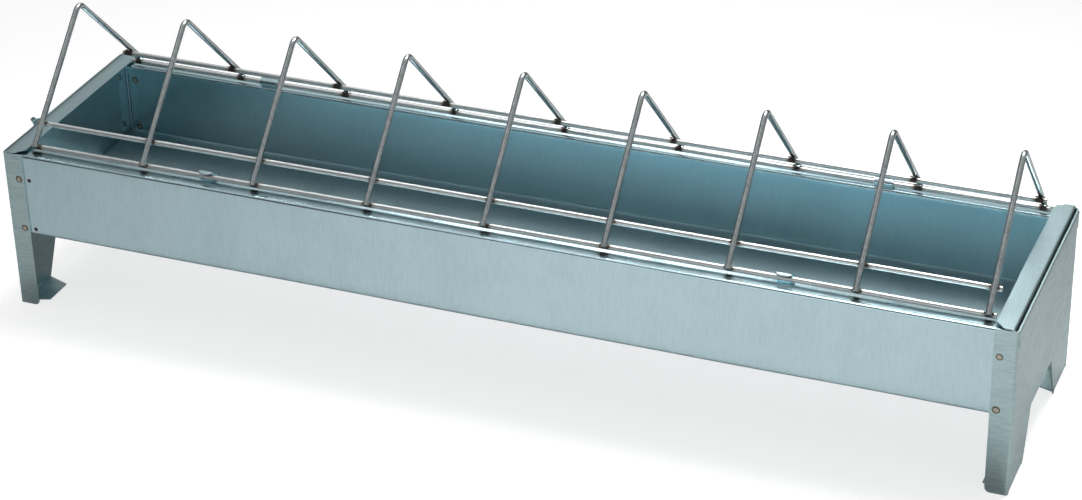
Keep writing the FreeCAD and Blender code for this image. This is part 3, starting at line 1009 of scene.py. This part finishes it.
# ---------------------------------------------------------------------------- spot welds and scorches
@dataclass
class SpotWelds:
    """Round spot welds that hold the leg panels' flanges on the tray, and burnt splashes beside them."""

    diameter: float = 0.0034
    rise: float = 0.00025
    inset: float = 0.0076
    low: float = 0.0433
    high: float = 0.0702
    finish: SpotFinish = field(default_factory=SpotFinish)
    scorch: ScaleFinish = field(default_factory=lambda: ScaleFinish(
        "burnt splash", brown=(0.05, 0.035, 0.03)))
    scorches: tuple[Pair, ...] = ((0.0130, 0.0700), (0.0134, 0.0434))

    def _tree(self) -> bpy.types.NodeTree:
        """Makes a tree that puts a low, dimpled disc on every point."""
        graph, given = input_tree("dimpled discs", {
            "Diameter": "Float", "Rise": "Float", "Dimple": "Float", "Raggedness": "Float",
            "Seed": "Int", "Finish": "Material"})
        ball = graph.out("GeometryNodeMeshUVSphere", {"Segments": 28, "Rings": 18, "Radius": 1.0})
        x, y, z = graph.parts(graph.out("GeometryNodeInputPosition"))
        ring = graph.maths("SQRT", graph.total(graph.product(x, x), graph.product(y, y)))
        stored = graph.out("GeometryNodeStoreNamedAttribute", {"Geometry": ball, "Name": "ring",
                                                               "Value": ring})
        bowl = graph.span(ring, (0.25, 0.80), (1.0, 0.0))
        sunk = graph.maths("SUBTRACT", 1.0, graph.product(bowl, given["Dimple"]))
        radius = graph.product(given["Diameter"], 0.5)
        flat = graph.joined(X=graph.product(x, radius), Y=graph.product(y, radius),
                            Z=graph.product(z, sunk, given["Rise"]))
        disc = graph.out("GeometryNodeSetPosition", {"Geometry": stored, "Position": flat})
        facing = graph.out("GeometryNodeInputNamedAttribute", {"Name": "facing"}, data_type="FLOAT_VECTOR")
        turn = graph.out("FunctionNodeAlignRotationToVector", {"Vector": facing}, axis="Z")
        size = graph.add("FunctionNodeRandomValue", {2: 0.88, 3: 1.10, "Seed": given["Seed"]},
                         data_type="FLOAT").outputs[1]
        placed = graph.instances(given["Geometry"], disc, turn, size)
        here = graph.out("GeometryNodeInputPosition")
        rough = graph.add("ShaderNodeTexNoise", {"Vector": here, "Scale": 420.0, "Detail": 2.0})
        centred = graph.vector("SUBTRACT", {0: rough.outputs["Color"], 1: (0.5, 0.5, 0.5)})
        shift = graph.vector("SCALE", {0: centred, "Scale": given["Raggedness"]})
        in_plane = graph.vector("MULTIPLY", {0: shift, 1: (1.0, 0.0, 1.0)})
        return end_tree(graph, graph.moved(placed, in_plane), given["Finish"])

    def build(self) -> None:
        """Builds the spot welds and the scorches."""
        tree = self._tree()
        faces = []
        for end in End:
            for side in Side:
                x = end.value * (SIZES.half_length - self.inset)
                for z in (self.low, self.high):
                    faces.append((Vector((x, side.value * SIZES.half_width, z)), side.value))
                    inner = SIZES.half_width - 2 * SIZES.sheet
                    faces.append((Vector((x, side.value * inner, z)), -side.value))
        welds = grown("spot_weld_faces", facing_points("spot places", faces), tree, {
            "Diameter": self.diameter, "Rise": self.rise, "Dimple": 0.45, "Raggedness": 0.0005,
            "Seed": 4, "Finish": self.finish.material()})
        names = [f"{side.name.lower()}_{end.name.lower()}_spot_welds" for side in Side for end in End]
        place_piece(welds, Body.TROUGH, "spot_weld_steel", *names)
        front = -SIZES.half_width + SIZES.sheet
        spots = [(Vector((-SIZES.half_length + inset, front, z)), -1) for inset, z in self.scorches]
        marks = grown("scorch_marks", facing_points("scorch places", spots), tree, {
            "Diameter": 0.0021, "Rise": 0.00009, "Dimple": 0.2, "Raggedness": 0.0014,
            "Seed": 11, "Finish": self.scorch.material()})
        place_piece(marks, Body.TROUGH, "spot_weld_steel")


def facing_points(name: str, places: Sequence[tuple[Vector, int]]) -> bpy.types.Mesh:
    """Makes bare points that know which way they face.

    Args:
        name: the mesh's name.
        places: each point, and the sign of Y that it faces.

    Returns:
        The points, with each one's direction in the facing attribute.
    """
    mesh = point_mesh(name, [point for point, _ in places])
    facing = mesh.attributes.new("facing", "FLOAT_VECTOR", "POINT")
    facing.data.foreach_set("vector", [c for _, way in places for c in (0.0, float(way), 0.0)])
    return mesh


# ---------------------------------------------------------------------------- grid
@dataclass
class WireGrid:
    """Welded grid: four rods along the trough, pointed hoops across them and a weld at each crossing."""

    finish: WireFinish = field(default_factory=WireFinish)
    hoop_finish: WireFinish = field(default_factory=lambda: WireFinish(
        "bright hoop wire", bright=(0.74, 0.80, 0.81), dull=(0.48, 0.53, 0.54),
        drawn=(700.0, 700.0, 160.0), drawn_turn=(0.5, 0.4, 0.0), low_gloss=0.26, high_gloss=0.15,
        heated=False))
    scale: ScaleFinish = field(default_factory=ScaleFinish)
    bend: float = 0.0044
    foot: float = 0.0012
    nugget: float = 0.00090
    lumpiness: float = 0.0009
    lean: float = 0.0045
    sway: float = 0.00022
    sway_length: float = 0.09

    def _row_tree(self) -> bpy.types.NodeTree:
        """Makes a tree that thickens a line to wire and repeats it along X."""
        graph, given = input_tree("row of bent wires", {
            "Wire radius": "Float", "Count": "Int", "Pitch": "Float", "Lean": "Float",
            "Seed": "Int", "Finish": "Material"})
        curve = graph.out("GeometryNodeMeshToCurve", {"Mesh": given["Geometry"]})
        circle = graph.out("GeometryNodeCurvePrimitiveCircle", {"Resolution": 20,
                                                                "Radius": given["Wire radius"]})
        wire = graph.out("GeometryNodeCurveToMesh", {"Curve": curve, "Profile Curve": circle,
                                                     "Fill Caps": True})
        gaps = graph.maths("SUBTRACT", given["Count"], 1.0)
        start = graph.joined(X=graph.product(gaps, given["Pitch"], -0.5))
        row = graph.out("GeometryNodeMeshLine", {"Count": given["Count"], "Start Location": start,
                                                 "Offset": graph.joined(X=given["Pitch"])}, mode="OFFSET")
        yaw = graph.add("FunctionNodeRandomValue", {2: -1.0, 3: 1.0, "Seed": given["Seed"]},
                        data_type="FLOAT").outputs[1]
        turned = graph.joined(Z=graph.product(yaw, given["Lean"]))
        placed = graph.instances(row, wire, turned, (1.0, 1.0, 1.0))
        return end_tree(graph, placed, given["Finish"])

    def _nugget_tree(self) -> bpy.types.NodeTree:
        """Makes a tree that puts a lumpy bead of weld metal on every point."""
        graph, given = input_tree("weld beads", {
            "Radius": "Float", "Lumpiness": "Float", "Seed": "Int", "Finish": "Material"})
        ball = graph.out("GeometryNodeMeshIcoSphere", {"Radius": given["Radius"], "Subdivisions": 4})
        size, turn = (graph.out("FunctionNodeRandomValue", {0: low, 1: high, "Seed": given["Seed"]},
                                data_type="FLOAT_VECTOR")
                      for low, high in (((0.85, 0.62, 0.62), (1.20, 0.95, 0.95)),
                                        ((-0.5, -0.3, -0.3), (0.5, 0.3, 0.3))))
        placed = graph.instances(given["Geometry"], ball, turn, size)
        rough = graph.noise(graph.out("GeometryNodeInputPosition"), 900.0, 2.0)
        out = graph.product(graph.maths("SUBTRACT", rough, 0.5), given["Lumpiness"])
        push = graph.vector("SCALE", {0: graph.out("GeometryNodeInputNormal"), "Scale": out})
        return end_tree(graph, graph.moved(placed, push), given["Finish"])

    def _hoop_line(self) -> list[Vector]:
        """Middle line of a hoop, from its front foot to its rear foot."""
        off = SIZES.rod_radius + SIZES.hoop_radius
        apex = (SIZES.rod_y + off * math.sin(SIZES.slope)) / math.cos(SIZES.slope)
        foot = SIZES.on_leg(-self.foot, off)
        corners = [foot, SIZES.on_leg(apex, off), (-foot[0], foot[1])]
        return [Vector((0.0, y, z)) for y, z in rounded_line(corners, self.bend, 14)]

    def _rod_line(self, y: float, z: float, seed: float) -> list[Vector]:
        """Middle line of a rod, very slightly wavy between the hoops."""
        line = []
        for x in stations(-SIZES.rod_half_length, SIZES.rod_half_length, 0.0075):
            across, up = (noise.noise(Vector((x / self.sway_length, seed, level))) for level in (0.0, 5.0))
            line.append(Vector((x, y, z)) + Vector((0.0, across, up)) * self.sway)
        return line

    def _weld_points(self, along: float, side: Side) -> list[Vector]:
        """Both sides of every hoop where it crosses one rod."""
        y, z = SIZES.on_leg(along, SIZES.rod_radius * 0.80)
        off = SIZES.hoop_radius + 0.0002
        return [Vector((x + way * off, -side.value * y, z)) for x in SIZES.hoop_places() for way in (-1, 1)]

    def build(self) -> None:
        """Builds hoops, rods and welds in place of the CAD ones."""
        rows = self._row_tree()
        hoops = grown("grid_hoop_wires", point_mesh("hoop line", self._hoop_line(), True), rows, {
            "Wire radius": SIZES.hoop_radius, "Count": SIZES.hoop_count, "Pitch": SIZES.hoop_pitch,
            "Lean": self.lean, "Seed": 5, "Finish": self.hoop_finish.material()})
        nodes = [f"grid_hoop_{i + 1}" for i in range(SIZES.hoop_count)]
        place_piece(hoops, Body.GRID, "wire_steel", *nodes)
        wire = self.finish.material()
        scale = self.scale.material()
        beads = self._nugget_tree()
        for level, along in (("lower", 0.0), ("upper", SIZES.upper_rod_step)):
            y, z = SIZES.on_leg(along, 0.0)
            for side in Side:
                name = f"grid_{side.name.lower()}_{level}"
                line = self._rod_line(-side.value * y, z, side.value * 3.0 + along * 700.0)
                rod = grown(name + "_rod_wire", point_mesh(name + " line", line, True), rows, {
                    "Wire radius": SIZES.rod_radius, "Count": 1, "Pitch": 0.0, "Lean": 0.0,
                    "Seed": 1, "Finish": wire})
                place_piece(rod, Body.GRID, "wire_steel", name + "_rod")
                crossings = point_mesh(name + " crossings", self._weld_points(along, side))
                welds = grown(name + "_weld_beads", crossings, beads, {
                    "Radius": self.nugget, "Lumpiness": self.lumpiness,
                    "Seed": 3 + side.value + (20 if along else 0), "Finish": scale})
                place_piece(welds, Body.GRID, "wire_weld_steel", name + "_welds")


# ---------------------------------------------------------------------------- studio
@dataclass
class Studio:
    """Plain pale floor, soft light and the camera."""

    floor_half: float = 6.0
    eye: Triple = (0.45884, -1.09186, 0.71300)
    forward: Triple = (-0.33335, 0.80487, -0.49098)
    up: Triple = (-0.16530, 0.46281, 0.87091)
    lens: float = 94.64
    sensor: float = 36.0

    @staticmethod
    def _paper(graph: Graph) -> dict:
        """A matt white that glows a little, and more where the camera sees it than in reflections."""
        seen = graph.add("ShaderNodeLightPath").outputs["Is Camera Ray"]
        return {"Base Color": (0.46, 0.46, 0.46, 1.0), "Roughness": 0.95, "Specular IOR Level": 0.05,
                "Emission Color": (1.0, 1.0, 1.0, 1.0),
                "Emission Strength": graph.span(seen, (0.0, 1.0), (0.08, 0.74))}

    def _floor(self) -> None:
        """Lays the floor."""
        half = self.floor_half
        mesh = bpy.data.meshes.new("floor")
        mesh.from_pydata([(-half, -half, 0), (half, -half, 0), (half, half, 0), (-half, half, 0)],
                         [], [(0, 1, 2, 3)])
        floor = linked("floor", mesh)
        mesh.materials.append(shaded("floor paper", self._paper))

    def _world(self) -> None:
        """Lights the room: bright above and behind, dim low down, in front and to both sides."""
        world = bpy.data.worlds.new("studio")
        bpy.context.scene.world = world
        world.use_nodes = True
        graph = Graph(world.node_tree)
        x, y, z = graph.parts(graph.add("ShaderNodeTexCoord").outputs["Generated"])
        fades = ((z, (0.10, 0.46), (0.20, 1.0)), (y, (-0.76, -0.35), (0.10, 1.0)),
                 (x, (-0.56, -0.28), (0.26, 1.0)), (x, (-0.30, -0.10), (1.0, 0.36)))
        level = graph.product(*[graph.span(value, source, target, interpolation_type="SMOOTHSTEP")
                                for value, source, target in fades])
        shade = world.node_tree.nodes["Background"]
        shade.inputs["Color"].default_value = (1.0, 1.0, 1.0, 1.0)
        graph.feed(shade, "Strength", level)

    def _lamp(self, name: str, place: Triple, aim: Triple, size: Pair, power: float, spread: float) -> None:
        """Hangs a soft lamp with a flat oblong face.

        Args:
            name: of the lamp.
            place: its middle.
            aim: the point it faces.
            size: width and height of its face.
            power: in watts.
            spread: opening angle of its grid, in degrees.
        """
        data = bpy.data.lights.new(name, "AREA")
        data.shape = "RECTANGLE"
        data.size, data.size_y = size
        data.energy = power
        data.spread = math.radians(spread)
        lamp = linked(name, data)
        lamp.location = place
        lamp.rotation_euler = (Vector(aim) - Vector(place)).to_track_quat("-Z", "Y").to_euler()

    def _camera(self) -> None:
        """Sets up the camera."""
        data = bpy.data.cameras.new("camera")
        data.lens = self.lens
        data.sensor_width = self.sensor
        data.sensor_fit = "HORIZONTAL"
        camera = linked("camera", data)
        forward = Vector(self.forward).normalized()
        right = forward.cross(Vector(self.up)).normalized()
        up = right.cross(forward)
        turn = Matrix((right, up, -forward)).transposed().to_4x4()
        camera.matrix_world = Matrix.Translation(Vector(self.eye)) @ turn
        bpy.context.scene.camera = camera

    def build(self) -> None:
        """Sets up floor, light and camera."""
        self._floor()
        self._world()
        self._lamp("overhead", (0.14, 0.42, 1.25), (0.10, -0.26, 0.0), (0.66, 0.66), 2.9, 50.0)
        self._lamp("rear left", (-0.62, 1.70, 1.00), (0.0, 0.0, 0.04), (0.36, 0.50), 0.42, 120.0)
        self._lamp("low front", (0.35, -2.30, 0.24), (0.1, 0.0, 0.04), (2.60, 0.50), 4.2, 120.0)
        self._camera()
        bpy.context.scene.view_settings.view_transform = "Standard"


def main() -> None:
    """Builds every sub-assembly in order."""
    logging.basicConfig(level=logging.INFO, format="%(message)s")
    TroughTray().build()
    for end in End:
        # End plates and leg panels get a darker base colour than the tray's steel: painted shade for the
        # dimmer light on these faces.
        EndPlate(end, SheetSteelFinish(
            f"sheet steel, {end.name.lower()} end plate", dark=(0.375, 0.505, 0.535),
            light=(0.450, 0.600, 0.630), low_gloss=0.36, high_gloss=0.28, grain=0.06)).build()
        LegPanel(end, SheetSteelFinish(
            f"sheet steel, {end.name.lower()} leg panel", dark=(0.385, 0.510, 0.530),
            light=(0.500, 0.645, 0.665), flecks=(150.0, 150.0, 1050.0), bands=(5.0, 5.0, 60.0),
            fleck_share=0.60, low_gloss=0.38, high_gloss=0.28, grain=0.06)).build()
    SpotWelds().build()
    WireGrid().build()
    Studio().build()


if __name__ == "__main__":
    main()
